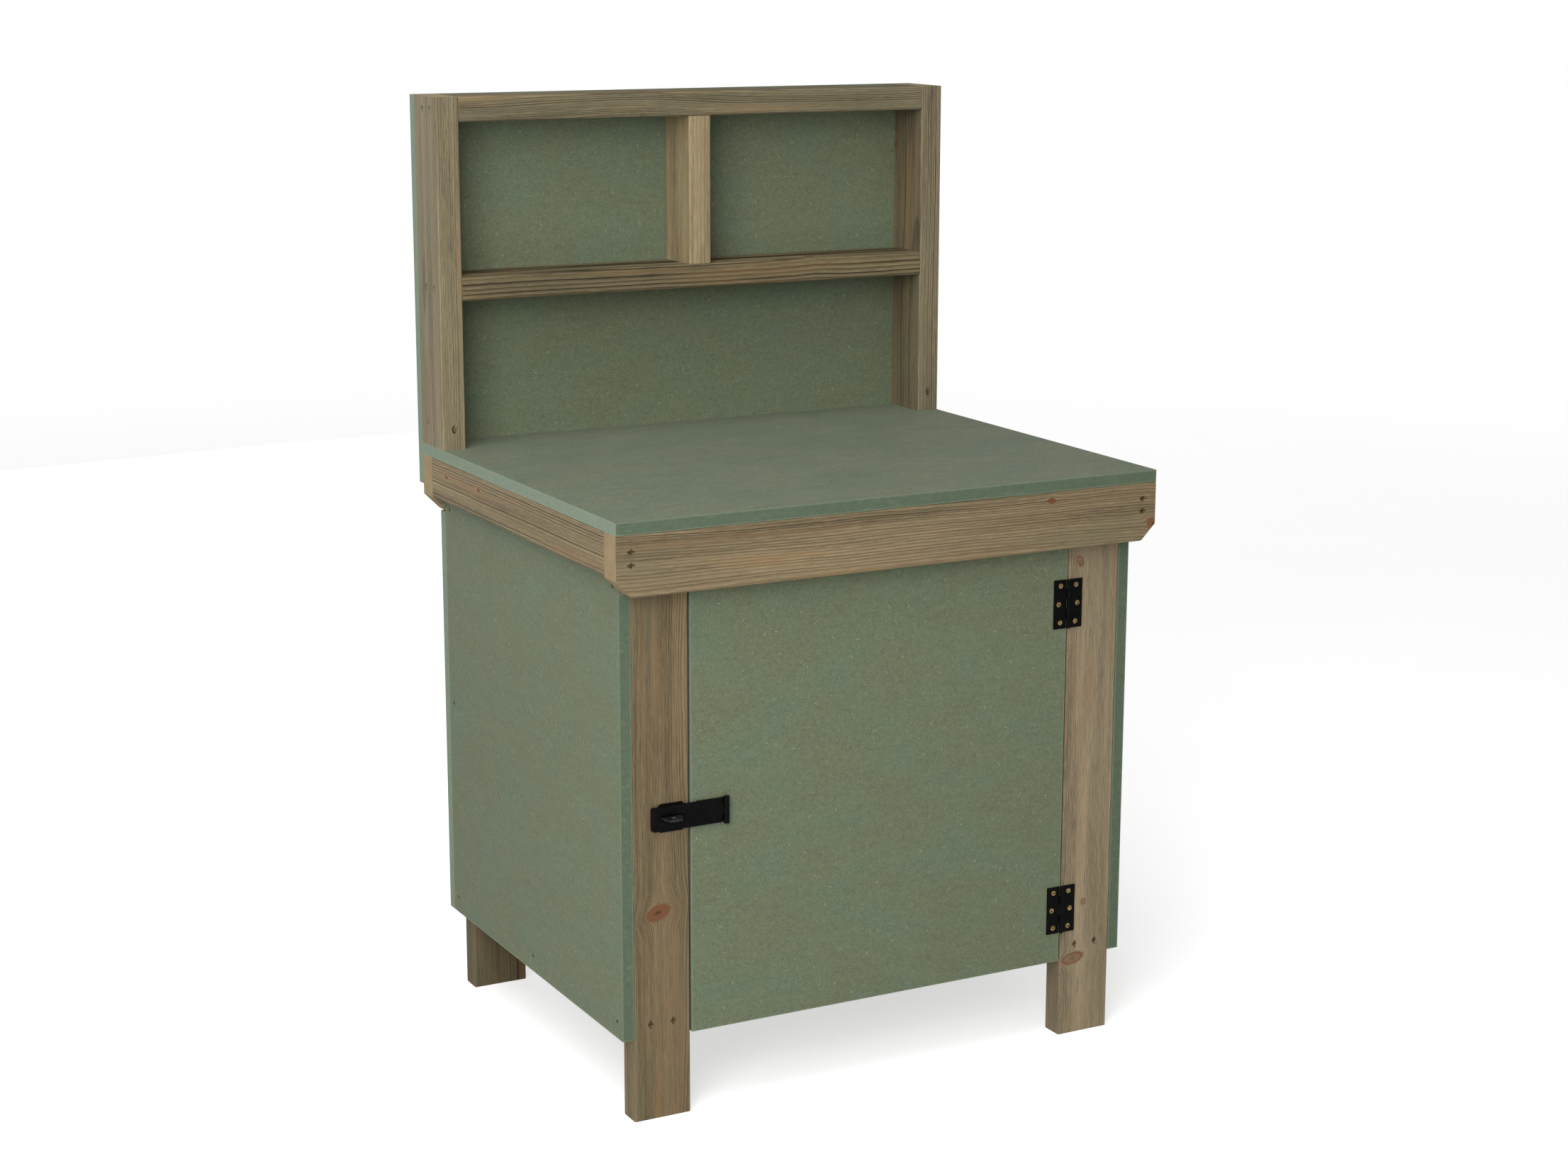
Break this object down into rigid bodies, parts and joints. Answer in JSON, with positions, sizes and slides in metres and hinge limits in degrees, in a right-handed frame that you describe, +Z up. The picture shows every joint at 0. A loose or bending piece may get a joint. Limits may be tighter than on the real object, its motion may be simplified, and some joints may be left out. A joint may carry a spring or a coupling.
{
  "type": "potting bench",
  "caption": "Softwood and green MDF potting bench: worktop over a cupboard with a hinged door, hasp and staple, and an upper back with shelf, divider and posts.",
  "frame": {"origin": "on the floor, under the middle of the bench's overall box", "axes": "+X to the bench's right as seen from the front, +Y towards the back board, +Z up"},
  "size_m": [0.89, 0.746, 1.43],
  "materials": {
    "mdf": "unfinished moisture resistant MDF, green, matt, fine fibres",
    "softwood": "planed softwood, pressure treated, matt, coarse grain and knots",
    "black_steel": "black powder coat, satin",
    "brass_screw": "yellow passivated, satin",
    "zinc_screw": "yellow passivated, dulled",
    "bright_steel": "bright steel"
  },
  "bodies": {
    "bench": {"back_left_leg": "softwood", "back_rail": "softwood", "back_rail_screws": "zinc_screw", "back_right_leg": "softwood", "base_back_rail": "softwood", "base_frame_screws": "zinc_screw", "base_front_rail": "softwood", "base_left_rail": "softwood", "base_right_rail": "softwood", "bottom_shelf": "mdf", "bottom_shelf_screws": "zinc_screw", "divider": "softwood", "divider_screws": "zinc_screw", "front_left_leg": "softwood", "front_rail": "softwood", "front_rail_screws": "zinc_screw", "front_right_leg": "softwood", "hinge_leg_screws": "brass_screw", "left_panel_screws": "zinc_screw", "left_post": "softwood", "left_side_panel": "mdf", "left_side_rail": "softwood", "leg_foot_screws": "zinc_screw", "leg_head_screws": "zinc_screw", "lower_back_panel": "mdf", "lower_back_screws": "zinc_screw", "lower_hinge_leg_leaf": "black_steel", "lower_hinge_pin": "black_steel", "post_screws": "zinc_screw", "post_toe_screws": "zinc_screw", "right_panel_screws": "zinc_screw", "right_post": "softwood", "right_side_panel": "mdf", "right_side_rail": "softwood", "staple_eye": "black_steel", "staple_plate": "black_steel", "staple_screws": "zinc_screw", "top_rail": "softwood", "upper_back_panel": "mdf", "upper_back_screws": "zinc_screw", "upper_hinge_leg_leaf": "black_steel", "upper_hinge_pin": "black_steel", "upper_shelf": "softwood", "worktop": "mdf", "worktop_pins": "bright_steel"},
    "door": {"door": "mdf", "upper_hinge_door_leaf": "black_steel", "lower_hinge_door_leaf": "black_steel", "hinge_door_screws": "brass_screw", "hasp_base": "black_steel", "hasp_pin": "black_steel", "hasp_screws": "zinc_screw"},
    "hasp": {"hasp_strap": "black_steel"}
  },
  "joints": [
    {"name": "door_hinge", "type": "hinge", "parent": "bench", "child": "door", "pos_m": [0.3165, -0.338, 0.451], "axis": [0, 0, 1], "range_deg": [0, 175]},
    {"name": "hasp_hinge", "type": "hinge", "parent": "door", "child": "hasp", "pos_m": [-0.261, -0.3397, 0.451], "axis": [0, 0, 1], "range_deg": [0, 175]}
  ]
}
